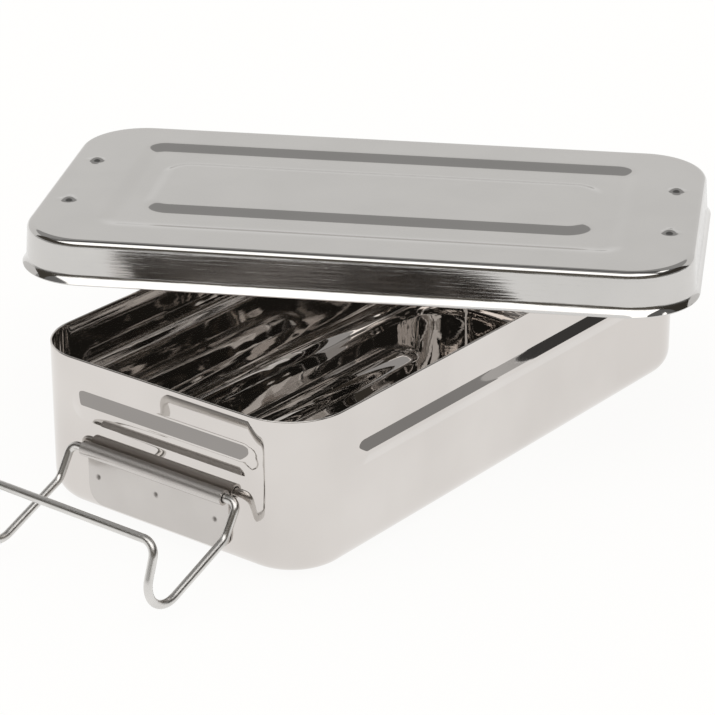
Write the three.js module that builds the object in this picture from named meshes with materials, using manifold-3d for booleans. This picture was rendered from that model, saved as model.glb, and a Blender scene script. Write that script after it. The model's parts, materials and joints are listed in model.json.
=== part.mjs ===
// Stainless steel instrument box: a drawn tray, a loose lid laid askew on its rim,
// and at each end a welded bracket whose rolled edge carries a sprung wire handle.
// Millimetres, +Z up, origin at the middle of the tray's underside.
// The tray's length runs along X, its width along Y.

import * as THREE from 'three';
import { mergeVertices } from 'three/addons/utils/BufferGeometryUtils.js';
import Module from 'manifold-3d';

const wasm = await Module();
wasm.setup();

// Sheet metal and fits
const SHEET = 0.8;
const SEAT_GAP = 0.3;
const OVERRUN = 2;
const HALF_SHARE = 0.5;

// Tray
const BOX_LENGTH = 234;
const BOX_WIDTH = 120;
const BOX_HEIGHT = 56.2;
const BOX_CORNER_RADIUS = 21.5;
const BOX_BASE_RADIUS = 9;

// Ribs pressed outwards in the four walls; the lip of the closed lid stops on them
const RIB_PROUD = 1.9;
const RIB_CREST = 0.8;
const SIDE_RIB_HEIGHT = 38;
const SIDE_RIB_WIDTH = 9.4;
const SIDE_RIB_INSET = 6;
const END_RIB_HEIGHT = 40;
const END_RIB_WIDTH = 11.4;
const END_RIB_SHIFT = 1.4;

// Beads pressed up in the floor
const FLOOR_BEAD_END_MARGIN = 57;
const FLOOR_BEAD_SIDE_MARGIN = 20.5;
const FLOOR_BEAD_WIDTH = 17;
const FLOOR_BEAD_RISE = 2.2;

// Lid, with play round the tray; its skirt widens downwards to a flared lip
const LID_END_PLAY = 1.45;
const LID_SIDE_PLAY = 2.05;
const LID_CORNER_RADIUS = 24;
const LID_HEIGHT = 15.75;
const LID_TOP_RADIUS = 2.6;
const LID_DRAFT = 1;
const LID_LIP_PROUD = 1.65;
const LID_LIP_HEIGHT = 2.8;
const LID_LIP_EDGE = 0.5;

// Ring-shaped channel pressed into the lid's top round a level island
const CHANNEL_DEPTH = 1.3;
const CHANNEL_END_MARGIN = 20.75;
const CHANNEL_SIDE_MARGIN = 16.35;
const CHANNEL_CORNER_RADIUS = 13;
const CHANNEL_END_SLOPE = 7;
const CHANNEL_SIDE_SLOPE = 10.5;
const CHANNEL_END_WIDTH = 16.5;
const CHANNEL_SIDE_WIDTH = 26.5;
const ISLAND_CORNER_RADIUS = 14;
const ISLAND_END_SLOPE = 6.5;
const ISLAND_SIDE_SLOPE = 7.7;

// Detent bumps of the lid
const BUMP_RADIUS = 2.7;
const BUMP_RISE = 1.2;
const BUMP_END_MARGIN = 10.25;
const BUMP_SPACING = 43;

// Where the loose lid lies on the tray
const LID_SHIFT_X = 32.9;
const LID_SHIFT_Y = 26.7;
const LID_TURN = -1.068;

// Brackets, welded a little to one side of the middle of each end wall
const FITTING_SHIFT = 0.5;
const CURL_BELOW_RIB = 8.3;
const BRACKET_WIDTH = 61.4;
const BRACKET_FOOT_HEIGHT = 5.5;
const BRACKET_CORNER_RADIUS = 6;
const CURL_LIP_ANGLE = -1.9;
const WELD_MARK_SPACING = 25.5;
const WELD_MARK_SHIFT = 0.8;
const WELD_MARK_BELOW_CURL = 10.2;
const WELD_MARK_MIDDLE_RISE = 1.2;
const WELD_MARK_RADIUS = 0.9;
const WELD_MARK_DEPTH = 0.3;

// Handles, given in the attitude that holds the closed lid down
const WIRE_RADIUS = 1.5;
const WIRE_CLEARANCE = 0.3;
const WIRE_TAIL_LENGTH = 12;
const LEG_SPREAD = 36.2;
const KNEE_OUT = 7.2;
const KNEE_RISE = 10.1;
const CROWN_RISE = 56.4;
const LIP_PAST_RIB = 1.1;
const GRIP_PAST_BUMP = 1.2;
const HINGE_BEND_RADIUS = 3;
const KNEE_BEND_RADIUS = 6;
const CROWN_BEND_RADIUS = 8.8;
const GRIP_BEND_RADIUS = 5;

// Swing of each handle down from the closed attitude
const FRONT_SWING_ANGLE = 1.96;
const REAR_SWING_ANGLE = 1.285;

// Smoothness
const CORNER_STEPS = 9;
const EDGE_STEPS = 6;
const BULGE_STEPS = 4;
const BULGE_END_STEPS = 5;
const SLOPE_STEPS = 4;
const ROUND_END_SHARE = 0.995;
const BUMP_SEGMENTS = 12;
const CURL_HALF_STEPS = 10;
const WIRE_HALF_SIDES = 4;
const WIRE_STEP = 2.4;

// Values that follow from the sizes above
const curlBore = WIRE_RADIUS + WIRE_CLEARANCE;
const curlOuter = curlBore + SHEET;
const hingeOut = SEAT_GAP + curlOuter;
const sideRibLength = BOX_LENGTH - 2 * (BOX_CORNER_RADIUS + SIDE_RIB_INSET);
const endRibLength = BOX_WIDTH - 2 * BOX_CORNER_RADIUS;
const hingeHeight = END_RIB_HEIGHT - END_RIB_WIDTH * HALF_SHARE - CURL_BELOW_RIB;
const lidHalfLength = BOX_LENGTH * HALF_SHARE + LID_END_PLAY + SHEET;
const lidHalfWidth = BOX_WIDTH * HALF_SHARE + LID_SIDE_PLAY + SHEET;
const bumpAlong = lidHalfLength - BUMP_END_MARGIN;
const lidSeatHeight = END_RIB_HEIGHT + END_RIB_WIDTH * HALF_SHARE - LIP_PAST_RIB;
const closedLidTop = lidSeatHeight + LID_HEIGHT;
const gripRise = closedLidTop + WIRE_RADIUS - hingeHeight;
const bumpInnerEdge = BOX_LENGTH * HALF_SHARE - bumpAlong + BUMP_RADIUS;
const gripInward = hingeOut + bumpInnerEdge + WIRE_RADIUS + GRIP_PAST_BUMP;

// Closed solid through a stack of outlines with equal numbers of points.
function loft(rings) {
  const count = rings[0].length;
  const positions = [];
  for (const ring of rings) {
    for (const point of ring) positions.push(point.x, point.y, point.z);
  }
  const indices = [];
  for (let level = 0; level + 1 < rings.length; level++) {
    for (let i = 0; i < count; i++) {
      const a = level * count + i;
      const b = level * count + ((i + 1) % count);
      indices.push(a, b, b + count, a, b + count, a + count);
    }
  }
  const top = (rings.length - 1) * count;
  for (let i = 1; i + 1 < count; i++) {
    indices.push(0, i + 1, i, top, top + i, top + i + 1);
  }
  const geometry = new THREE.BufferGeometry();
  geometry.setAttribute('position', new THREE.Float32BufferAttribute(positions, 3));
  geometry.setIndex(indices);
  return geometry;
}

// Rounded rectangle, counter-clockwise seen from +Z.
function outline(halfLength, halfWidth, radius, z, steps = CORNER_STEPS) {
  const limit = Math.min(halfLength, halfWidth) * ROUND_END_SHARE;
  const corner = Math.min(radius, limit);
  const quarter = Math.PI / 2;
  const signs = [[1, 1], [-1, 1], [-1, -1], [1, -1]];
  const points = [];
  signs.forEach(([sx, sy], turn) => {
    for (let i = 0; i <= steps; i++) {
      const angle = (turn + i / steps) * quarter;
      const x = sx * (halfLength - corner) + corner * Math.cos(angle);
      const y = sy * (halfWidth - corner) + corner * Math.sin(angle);
      points.push(new THREE.Vector3(x, y, z));
    }
  });
  return points;
}

function toSolid(geometry) {
  const bare = new THREE.BufferGeometry();
  bare.setAttribute('position', geometry.getAttribute('position'));
  if (geometry.index) bare.setIndex(geometry.index);
  const merged = mergeVertices(bare);
  const mesh = new wasm.Mesh({
    numProp: 3,
    vertProperties: new Float32Array(merged.getAttribute('position').array),
    triVerts: new Uint32Array(merged.index.array),
  });
  return new wasm.Manifold(mesh);
}

function toGeometry(solid) {
  const mesh = solid.getMesh();
  const geometry = new THREE.BufferGeometry();
  const positions = new THREE.BufferAttribute(mesh.vertProperties, mesh.numProp);
  geometry.setAttribute('position', positions);
  geometry.setIndex(new THREE.BufferAttribute(mesh.triVerts, 1));
  geometry.computeVertexNormals();
  return geometry;
}

// Long swelling with round ends: its cross-section is the segment of a circle.
// It stands on z = 0 along X and reaches below z = 0 by the given root.
function bulgeGeometry(length, width, rise, root) {
  const half = width / 2;
  const radius = (half * half + rise * rise) / (2 * rise);
  const straight = length / 2 - half;
  const rings = [outline(length / 2, half, half, -root, BULGE_END_STEPS)];
  for (let i = 0; i < BULGE_STEPS; i++) {
    const climb = Math.sin((i / BULGE_STEPS) * Math.PI / 2) * rise;
    const reach = Math.sqrt(radius * radius - (radius - rise + climb) ** 2);
    rings.push(outline(straight + reach, reach, reach, climb, BULGE_END_STEPS));
  }
  return loft(rings);
}

// Long roof with round ends and a narrow level crest, standing on z = 0 along X.
function ribGeometry(length, width) {
  const half = width / 2;
  const straight = length / 2 - half;
  return loft([
    outline(length / 2, half, half, -OVERRUN * SHEET, BULGE_END_STEPS),
    outline(length / 2, half, half, 0, BULGE_END_STEPS),
    outline(straight + RIB_CREST, RIB_CREST, RIB_CREST, RIB_PROUD, BULGE_END_STEPS),
  ]);
}

// The outer rib and the hollow behind it, a sheet's thickness apart.
function ribPair(length, width, place) {
  const outer = ribGeometry(length, width);
  const inner = ribGeometry(length - 2 * SHEET, width - 2 * SHEET);
  inner.translate(0, 0, -SHEET);
  return [toSolid(outer.applyMatrix4(place)), toSolid(inner.applyMatrix4(place))];
}

// Frame whose X runs along a wall and whose Z points out of it.
function wallFrame(along, outwards, origin) {
  const up = new THREE.Vector3().crossVectors(outwards, along);
  return new THREE.Matrix4().makeBasis(along, up, outwards).setPosition(origin);
}

// Solid tray block with a rounded base, shrunk on every side by an inset.
function trayBlock(inset, top) {
  const halfLength = BOX_LENGTH / 2 - inset;
  const halfWidth = BOX_WIDTH / 2 - inset;
  const corner = BOX_CORNER_RADIUS - inset;
  const edge = BOX_BASE_RADIUS - inset;
  const rings = [];
  for (let i = 0; i <= EDGE_STEPS; i++) {
    const angle = (i / EDGE_STEPS) * Math.PI / 2;
    const pull = edge * (1 - Math.sin(angle));
    const z = inset + edge * (1 - Math.cos(angle));
    rings.push(outline(halfLength - pull, halfWidth - pull, corner - pull, z));
  }
  rings.push(outline(halfLength, halfWidth, corner, top));
  return toSolid(loft(rings));
}

function wallRibs() {
  const pairs = [];
  for (const side of [1, -1]) {
    const sideNormal = new THREE.Vector3(0, side, 0);
    const sideAlong = new THREE.Vector3(side, 0, 0);
    const sideFoot = new THREE.Vector3(0, side * BOX_WIDTH / 2, SIDE_RIB_HEIGHT);
    const sidePlace = wallFrame(sideAlong, sideNormal, sideFoot);
    pairs.push(ribPair(sideRibLength, SIDE_RIB_WIDTH, sidePlace));
    const endNormal = new THREE.Vector3(side, 0, 0);
    const endAlong = new THREE.Vector3(0, side, 0);
    const endShift = side * END_RIB_SHIFT;
    const endFoot = new THREE.Vector3(side * BOX_LENGTH / 2, endShift, END_RIB_HEIGHT);
    const endPlace = wallFrame(endAlong, endNormal, endFoot);
    pairs.push(ribPair(endRibLength, END_RIB_WIDTH, endPlace));
  }
  return pairs;
}

// The drawn tray: outer block less inner block, with its ribs and floor beads.
function trayGeometry() {
  let outer = trayBlock(0, BOX_HEIGHT);
  let inner = trayBlock(SHEET, BOX_HEIGHT + OVERRUN);
  for (const [rib, hollow] of wallRibs()) {
    outer = outer.add(rib);
    inner = inner.add(hollow);
  }
  const beadLength = BOX_LENGTH - 2 * FLOOR_BEAD_END_MARGIN;
  const beadOffset = (BOX_WIDTH - FLOOR_BEAD_WIDTH) / 2 - FLOOR_BEAD_SIDE_MARGIN;
  for (const side of [1, -1]) {
    const y = side * beadOffset;
    const ridge = bulgeGeometry(beadLength, FLOOR_BEAD_WIDTH, FLOOR_BEAD_RISE, OVERRUN);
    ridge.translate(0, y, SHEET);
    const length = beadLength - 2 * SHEET;
    const width = FLOOR_BEAD_WIDTH - 2 * SHEET;
    const recess = bulgeGeometry(length, width, FLOOR_BEAD_RISE, OVERRUN);
    recess.translate(0, y, 0);
    inner = inner.subtract(toSolid(ridge));
    outer = outer.subtract(toSolid(recess));
  }
  return toGeometry(outer.subtract(inner));
}

// How far the lid's skirt stands out at each height from its size under the top edge.
function skirtGrow(z) {
  const draft = LID_DRAFT * (1 - z / (LID_HEIGHT - LID_TOP_RADIUS));
  const climb = (z - LID_LIP_EDGE) / (LID_LIP_HEIGHT - LID_LIP_EDGE);
  const turn = (1 - Math.min(Math.max(climb, 0), 1)) * Math.PI / 2;
  return draft + LID_LIP_PROUD * (1 - Math.cos(turn));
}

// Solid lid block from the flared lip to the rounded top edge, shrunk by an inset.
function lidBlock(inset) {
  const top = LID_HEIGHT - inset;
  const edge = LID_TOP_RADIUS - inset;
  const rings = [];
  const ring = (grow, z) => {
    rings.push(outline(lidHalfLength + grow, lidHalfWidth + grow, LID_CORNER_RADIUS + grow, z));
  };
  if (inset > 0) ring(skirtGrow(0) - inset, -OVERRUN);
  else ring(skirtGrow(0) - LID_LIP_EDGE / 2, 0);
  for (let i = 0; i <= EDGE_STEPS; i++) {
    const z = LID_LIP_EDGE + (i / EDGE_STEPS) * (LID_LIP_HEIGHT - LID_LIP_EDGE);
    ring(skirtGrow(z) - inset, z);
  }
  for (let i = 0; i <= EDGE_STEPS; i++) {
    const angle = (i / EDGE_STEPS) * Math.PI / 2;
    ring(edge * (Math.cos(angle) - 1) - inset, top - edge * (1 - Math.sin(angle)));
  }
  return toSolid(loft(rings));
}

// Block whose sloping border climbs half a wave from a low outline to a high one;
// it runs on straight below by the root and above by the overrun.
function slopedBlock(low, high, root) {
  const rings = [];
  const ring = (share, z) => {
    const [halfLength, halfWidth, radius] = low.map((size, k) => size + share * (high[k] - size));
    rings.push(outline(halfLength, halfWidth, radius, z));
  };
  if (root > 0) ring(0, -CHANNEL_DEPTH - root);
  for (let i = 0; i <= SLOPE_STEPS; i++) {
    const share = i / SLOPE_STEPS;
    ring(share, -CHANNEL_DEPTH * (1 + Math.cos(share * Math.PI)) / 2);
  }
  ring(1, OVERRUN);
  return toSolid(loft(rings));
}

// Space above the ring-shaped channel, with the undented top at z = 0.
function channelSpace() {
  const rim = [
    lidHalfLength - CHANNEL_END_MARGIN,
    lidHalfWidth - CHANNEL_SIDE_MARGIN,
    CHANNEL_CORNER_RADIUS,
  ];
  const foot = [
    rim[0] - CHANNEL_END_SLOPE,
    rim[1] - CHANNEL_SIDE_SLOPE,
    CHANNEL_CORNER_RADIUS - CHANNEL_END_SLOPE,
  ];
  const crest = [rim[0] - CHANNEL_END_WIDTH, rim[1] - CHANNEL_SIDE_WIDTH, ISLAND_CORNER_RADIUS];
  const base = [
    crest[0] + ISLAND_END_SLOPE,
    crest[1] + ISLAND_SIDE_SLOPE,
    ISLAND_CORNER_RADIUS + ISLAND_END_SLOPE,
  ];
  return slopedBlock(foot, rim, 0).subtract(slopedBlock(base, crest, OVERRUN));
}

// Dome of revolution that stands on z = 0, with a root below it.
function domeGeometry(radius, rise, root) {
  const sphere = (radius * radius + rise * rise) / (2 * rise);
  const profile = [new THREE.Vector2(0, -root), new THREE.Vector2(radius, -root)];
  for (let i = 0; i < BULGE_STEPS; i++) {
    const climb = Math.sin((i / BULGE_STEPS) * Math.PI / 2) * rise;
    profile.push(new THREE.Vector2(Math.sqrt(sphere ** 2 - (sphere - rise + climb) ** 2), climb));
  }
  profile.push(new THREE.Vector2(0, rise));
  return new THREE.LatheGeometry(profile, BUMP_SEGMENTS).rotateX(Math.PI / 2);
}

function lidGeometry() {
  const top = LID_HEIGHT;
  const channel = channelSpace();
  let outer = lidBlock(0).subtract(channel.translate([0, 0, top]));
  let inner = lidBlock(SHEET).subtract(channel.translate([0, 0, top - SHEET]));
  for (const [sx, sy] of [[1, 1], [1, -1], [-1, 1], [-1, -1]]) {
    const dome = domeGeometry(BUMP_RADIUS, BUMP_RISE, SHEET * HALF_SHARE);
    dome.translate(sx * bumpAlong, sy * BUMP_SPACING * HALF_SHARE, top);
    const hollow = domeGeometry(BUMP_RADIUS - SHEET, BUMP_RISE, SHEET);
    hollow.translate(sx * bumpAlong, sy * BUMP_SPACING * HALF_SHARE, top - SHEET);
    outer = outer.add(toSolid(dome));
    inner = inner.add(toSolid(hollow));
  }
  return toGeometry(outer.subtract(inner));
}

// Side view of a bracket: a plate whose upper edge is rolled outwards into an open curl.
// Shape X is the distance out of the end wall, shape Y the height.
function bracketProfile() {
  const shape = new THREE.Shape();
  const back = SEAT_GAP;
  const face = SEAT_GAP + SHEET;
  const lipX = hingeOut + curlBore * Math.cos(CURL_LIP_ANGLE);
  const lipY = hingeHeight + curlBore * Math.sin(CURL_LIP_ANGLE);
  shape.moveTo(back, BRACKET_FOOT_HEIGHT);
  shape.lineTo(face, BRACKET_FOOT_HEIGHT);
  shape.lineTo(face, hingeHeight);
  shape.absarc(hingeOut, hingeHeight, curlBore, Math.PI, CURL_LIP_ANGLE, true);
  shape.lineTo(lipX + SHEET * Math.cos(CURL_LIP_ANGLE), lipY + SHEET * Math.sin(CURL_LIP_ANGLE));
  shape.absarc(hingeOut, hingeHeight, curlOuter, CURL_LIP_ANGLE, Math.PI, false);
  shape.lineTo(back, BRACKET_FOOT_HEIGHT);
  return shape;
}

// Bracket for the end wall at +X, its two lower corners rounded, with three weld marks.
function bracketGeometry() {
  const half = BRACKET_WIDTH / 2;
  const bar = new THREE.ExtrudeGeometry(bracketProfile(), {
    depth: BRACKET_WIDTH,
    bevelEnabled: false,
    curveSegments: CURL_HALF_STEPS,
  });
  bar.rotateX(Math.PI / 2).translate(BOX_LENGTH / 2, half, 0);
  const reach = hingeOut + curlOuter + OVERRUN;
  const top = hingeHeight + curlOuter + BRACKET_CORNER_RADIUS + OVERRUN;
  const middle = (top + BRACKET_FOOT_HEIGHT) / 2;
  const frontView = [0, reach].map((z) => {
    return outline(half, middle - BRACKET_FOOT_HEIGHT, BRACKET_CORNER_RADIUS, z);
  });
  const mask = loft(frontView);
  const across = new THREE.Vector3(0, 1, 0);
  const out = new THREE.Vector3(1, 0, 0);
  mask.applyMatrix4(wallFrame(across, out, new THREE.Vector3(BOX_LENGTH / 2, 0, middle)));
  let plate = toSolid(bar).intersect(toSolid(mask));
  for (const place of [-1, 0, 1]) {
    const mark = domeGeometry(WELD_MARK_RADIUS, WELD_MARK_DEPTH, OVERRUN * SHEET);
    mark.rotateY(-Math.PI / 2);
    const face = BOX_LENGTH / 2 + SEAT_GAP + SHEET;
    const rise = place === 0 ? WELD_MARK_MIDDLE_RISE : 0;
    const height = hingeHeight - WELD_MARK_BELOW_CURL + rise;
    mark.translate(face, place * WELD_MARK_SPACING - WELD_MARK_SHIFT, height);
    plate = plate.subtract(toSolid(mark));
  }
  return toGeometry(plate);
}

// Circular arc in space from start to end that bends round a centre.
class BendCurve extends THREE.Curve {
  constructor(centre, start, end) {
    super();
    this.centre = centre;
    this.first = start.clone().sub(centre);
    const last = end.clone().sub(centre);
    this.sweep = this.first.angleTo(last);
    this.axis = new THREE.Vector3().crossVectors(this.first, last).normalize();
  }

  getPoint(t, target = new THREE.Vector3()) {
    return target.copy(this.first).applyAxisAngle(this.axis, this.sweep * t).add(this.centre);
  }
}

// Straight stretches between corner points, each corner rounded to its bend radius.
function bentPath(corners, radii) {
  const path = new THREE.CurvePath();
  let start = corners[0];
  for (let i = 1; i + 1 < corners.length; i++) {
    const back = corners[i - 1].clone().sub(corners[i]).normalize();
    const ahead = corners[i + 1].clone().sub(corners[i]).normalize();
    const halfAngle = back.angleTo(ahead) / 2;
    const tangent = radii[i - 1] / Math.tan(halfAngle);
    const bendStart = corners[i].clone().addScaledVector(back, tangent);
    const bendEnd = corners[i].clone().addScaledVector(ahead, tangent);
    const middle = back.clone().add(ahead).normalize();
    const centre = corners[i].clone().addScaledVector(middle, radii[i - 1] / Math.sin(halfAngle));
    path.add(new THREE.LineCurve3(start, bendStart));
    path.add(new BendCurve(centre, bendStart, bendEnd));
    start = bendEnd;
  }
  path.add(new THREE.LineCurve3(start, corners[corners.length - 1]));
  return path;
}

// One length of wire in the attitude that holds the closed lid: X out of the box,
// Z up and the hinge axis on Y. Legs rise past the lid, turn back and meet at the grip.
function handleGeometry() {
  const tail = BRACKET_WIDTH / 2 - WIRE_TAIL_LENGTH;
  const half = [
    [0, tail, 0],
    [0, LEG_SPREAD, 0],
    [KNEE_OUT, LEG_SPREAD, KNEE_RISE],
    [KNEE_OUT, LEG_SPREAD, CROWN_RISE],
    [-gripInward, LEG_SPREAD, gripRise],
  ].map(([x, y, z]) => new THREE.Vector3(x, y, z));
  const other = half.map((point) => new THREE.Vector3(point.x, -point.y, point.z)).reverse();
  const bends = [HINGE_BEND_RADIUS, KNEE_BEND_RADIUS, CROWN_BEND_RADIUS, GRIP_BEND_RADIUS];
  const path = bentPath([...half, ...other], [...bends, ...[...bends].reverse()]);
  const section = new THREE.Shape();
  section.absarc(0, 0, WIRE_RADIUS, 0, 2 * Math.PI);
  return new THREE.ExtrudeGeometry(section, {
    steps: Math.round(path.getLength() / WIRE_STEP),
    curveSegments: WIRE_HALF_SIDES,
    extrudePath: path,
  });
}

function steel(colour, roughness) {
  return new THREE.MeshStandardMaterial({ color: colour, roughness, metalness: 1 });
}

function piece(name, geometry, material) {
  const mesh = new THREE.Mesh(geometry, material);
  mesh.name = name;
  return mesh;
}

// Bracket and handle of one end; facing turns the pair to its end wall.
function endFittings(end, facing, swingAngle) {
  const group = new THREE.Group();
  group.position.y = FITTING_SHIFT;
  group.rotation.z = facing;
  group.add(piece(`${end}_bracket`, bracketGeometry(), steel(0xb9b7b2, 0.22)));
  const hinge = new THREE.Group();
  hinge.position.set(BOX_LENGTH / 2 + hingeOut, 0, hingeHeight);
  hinge.rotation.y = swingAngle;
  hinge.add(piece(`${end}_handle`, handleGeometry(), steel(0xc4c3bf, 0.18)));
  group.add(hinge);
  return group;
}

function looseLid() {
  const group = new THREE.Group();
  group.position.set(LID_SHIFT_X, LID_SHIFT_Y, BOX_HEIGHT + SEAT_GAP);
  group.rotation.z = LID_TURN;
  group.add(piece('lid', lidGeometry(), steel(0xc8c6c2, 0.16)));
  return group;
}

const group = new THREE.Group();
group.add(piece('box_body', trayGeometry(), steel(0xc8c6c2, 0.14)));
group.add(looseLid());
group.add(endFittings('front', Math.PI, FRONT_SWING_ANGLE));
group.add(endFittings('rear', 0, REAR_SWING_ANGLE));

export default group;
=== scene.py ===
"""Stainless steel instrument box with a loose lid and a sprung wire handle at each end.

Metres, +Z up. The origin is the middle of the tray's underside, X runs along the tray
and Y across it. Every surface is worked out as a whole array of points on a grid.
"""
import json
import logging
import math
from dataclasses import dataclass, field
from enum import Enum

import bmesh
import bpy
import numpy as np
from mathutils import Matrix, Vector


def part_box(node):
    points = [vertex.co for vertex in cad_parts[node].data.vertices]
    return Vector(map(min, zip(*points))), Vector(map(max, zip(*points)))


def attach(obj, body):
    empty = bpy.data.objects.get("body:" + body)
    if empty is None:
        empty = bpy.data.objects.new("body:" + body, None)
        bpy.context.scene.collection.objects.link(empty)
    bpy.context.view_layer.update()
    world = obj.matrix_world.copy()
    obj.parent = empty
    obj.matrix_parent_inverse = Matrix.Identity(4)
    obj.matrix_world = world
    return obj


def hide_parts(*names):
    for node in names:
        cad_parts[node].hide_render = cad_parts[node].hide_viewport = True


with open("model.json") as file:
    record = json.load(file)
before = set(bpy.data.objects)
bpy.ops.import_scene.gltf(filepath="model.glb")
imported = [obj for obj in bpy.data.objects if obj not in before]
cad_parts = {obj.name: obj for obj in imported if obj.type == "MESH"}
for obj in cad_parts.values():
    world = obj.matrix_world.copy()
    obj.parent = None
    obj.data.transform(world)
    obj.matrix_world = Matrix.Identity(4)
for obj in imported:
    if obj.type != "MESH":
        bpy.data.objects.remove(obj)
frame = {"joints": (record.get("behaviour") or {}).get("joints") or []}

LOG = logging.getLogger("instrument_box")
MM = 0.001
SHEET = 0.8 * MM
MERGE_DISTANCE = 1e-7
# Steps round the sheets' bends, the tray's rim, the lid's lip and the wires' ends.
EDGE_STEPS = 9
RIM_STEPS = 6
LIP_STEPS = 8
DOME_STEPS = 5
# Fewest steps in a bend of the wire.
BEND_STEPS = 8
# How far a wire's end bulges, as a share of its radius.
END_BULGE = 0.35
# A direction that no wire starts along, from which its first ring is set out.
ASIDE = (0.3, 0.2, 0.9)
# Stretches of the floor from its middle line to the base's bend, and the steps in each.
FLOOR_STOPS = [0, 0.35, 0.85, 1]
OUTER_FLOOR_STEPS = [4, 12, 4]
INNER_FLOOR_STEPS = [12, 34, 6]
# Steps in the wall's three stretches, and how far the middle one reaches past the ribs.
WALL_STEPS = [8, 44, 6]
RIB_MARGIN = 1 * MM
# Stretches of the lid's top from each outline to the next, and the steps in each.
TOP_STRETCHES = [
    ([0, 0.85, 1], [6, 3]),
    ([0, 1], [12]),
    ([0, 1], [4]),
    ([0, 1], [14]),
    ([0, 0.38, 0.78, 1], [4, 18, 3]),
]
# Steps in the skirt's flare and above it.
SKIRT_STEPS = [18, 6]
# Height above which the skirt is marked with streaks, as a share of the flare's.
STREAK_START = 0.6
# Steps across and up a bracket's plate, and points round its curl.
PLATE_COLUMN_STEPS = [14, 110, 14]
PLATE_STEPS = 55
CURL_POINTS = 40
# Distance from the hinge past which the sheet counts as plate, as a share of the bore.
PLATE_REACH = 0.9
BEVEL_SEGMENTS = 2
# Points along and up each studio card.
CARD_COLUMNS = 33
CARD_ROWS = 17
# Angles above which an edge stays sharp.
SHEET_CREASE = math.radians(50)
BRACKET_CREASE = math.radians(35)
WIRE_CREASE = math.radians(80)
LID_TURN = -1.068
WHITE = (1.0, 1.0, 1.0, 1.0)
STAIN_COLOUR = (0.10, 0.09, 0.08)
# Warm colour of the light from some cards and of the painted glow on the tray.
WARM = (1.0, 0.91, 0.76)
# Noise values between which the gloss and the colour pass from one extreme to the other.
GLOSS_SPREAD = (0.3, 0.7)
TINT_SPREAD = (0.35, 0.65)
# Detail of the noise of the patches and of the polishing lines.
PATCH_DETAIL = 3.0
LINE_DETAIL = 4.0


class BoxEnd(Enum):
    """The two ends of the box, with how the fittings of each are turned."""

    FRONT = ("front", math.pi, 1.96)
    REAR = ("rear", 0.0, 1.285)

    def __init__(self, label: str, facing: float, swing: float) -> None:
        """Keeps what tells the two ends apart.

        Args:
            label: Word that the names of the end's pieces start with.
            facing: Turn about Z in radians that faces the fittings outwards.
            swing: Turn in radians of the handle, from holding the closed lid to its rest.
        """
        self.label = label
        self.facing = facing
        self.swing = swing


def graded(stops: list[float], counts: list[int]) -> np.ndarray:
    """Steps evenly within each stretch between stops, so that detail gets more points.

    Args:
        stops: Ends of the stretches, in rising order.
        counts: Steps in each stretch.

    Returns:
        The values from the first stop to the last, both included.
    """
    stretches = [
        np.linspace(low, high, count, endpoint=False)
        for low, high, count in zip(stops[:-1], stops[1:], counts)
    ]
    return np.concatenate([*stretches, [stops[-1]]])


def smooth_positive(height: np.ndarray, blend: float) -> np.ndarray:
    """Rounds the corner of max(height, 0): half of h plus the root of h squared plus b squared.

    Args:
        height: Values that may be negative.
        blend: Size of the rounding.

    Returns:
        Values that follow height where it is large and fade to nothing below zero.
    """
    return (height + np.sqrt(height * height + blend * blend)) / 2


def pressed(distance: np.ndarray, half_width: float, rise: float, blend: float) -> np.ndarray:
    """Height of a pressed bead: rise times one minus the square of distance over half width.

    Args:
        distance: Distance from the bead's middle line.
        half_width: Distance at which the bead meets the sheet.
        rise: Height at the middle line.
        blend: Size of the foot's rounding.

    Returns:
        The bead's height at each distance.
    """
    return smooth_positive(rise * (1 - (distance / half_width) ** 2), blend)


def roofed(distance: np.ndarray, half_width: float, rise: float, crest: float, blend: float) -> np.ndarray:
    """Height of a pressed rib with straight flanks, its crest and foot rounded.

    The distance is first rounded at zero as the root of d squared plus c squared, less c.
    The height then falls evenly with it from the rise at the middle line to nothing.

    Args:
        distance: Distance from the rib's middle line.
        half_width: Distance at which the rib meets the sheet.
        rise: Height at the middle line.
        crest: Size of the crest's rounding.
        blend: Size of the foot's rounding.

    Returns:
        The rib's height at each distance.
    """
    rounded = np.sqrt(distance * distance + crest * crest) - crest
    reach = math.sqrt(half_width * half_width + crest * crest) - crest
    return smooth_positive(rise * (1 - rounded / reach), blend)


def slot_distance(along: np.ndarray, across: np.ndarray, length: float, width: float) -> np.ndarray:
    """Distance from the middle line of a slot with round ends.

    Args:
        along: Place along the slot, measured from its middle.
        across: Place across the slot.
        length: Overall length.
        width: Overall width, which is also the diameter of the ends.

    Returns:
        Distance from the segment that joins the two end centres.
    """
    straight = (length - width) / 2
    past = np.maximum(np.abs(along) - straight, 0.0)
    return np.hypot(past, across)


@dataclass(frozen=True)
class Waves:
    """Gentle unevenness of hand-polished sheet.

    Attributes:
        height: Typical height of the unevenness, which its peaks pass.
        lengths: Shortest wavelength along each coordinate.
        count: Number of sine waves.
        seed: Seed of their directions and phases.
        slowest: Fewest waves along a coordinate, as a share of the most.
    """

    height: float
    lengths: tuple[float, ...]
    count: int
    seed: int
    slowest: float = 0.35

    def at(self, places: np.ndarray) -> np.ndarray:
        """Sum of sine waves in seeded directions, over the root of their number.

        Args:
            places: Points as rows, columns, coordinates, in metres.

        Returns:
            Height at each point.
        """
        random = np.random.default_rng(self.seed)
        size = (self.count, len(self.lengths))
        turns = random.uniform(self.slowest, 1.0, size) * random.choice([-1, 1], size)
        waves_per_metre = turns / np.array(self.lengths)
        phases = random.uniform(0, 2 * math.pi, self.count)
        total = np.zeros(places.shape[:-1])
        for direction, phase in zip(waves_per_metre, phases):
            total += np.sin(2 * math.pi * (places @ direction) + phase)
        return total / math.sqrt(self.count) * self.height


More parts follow.
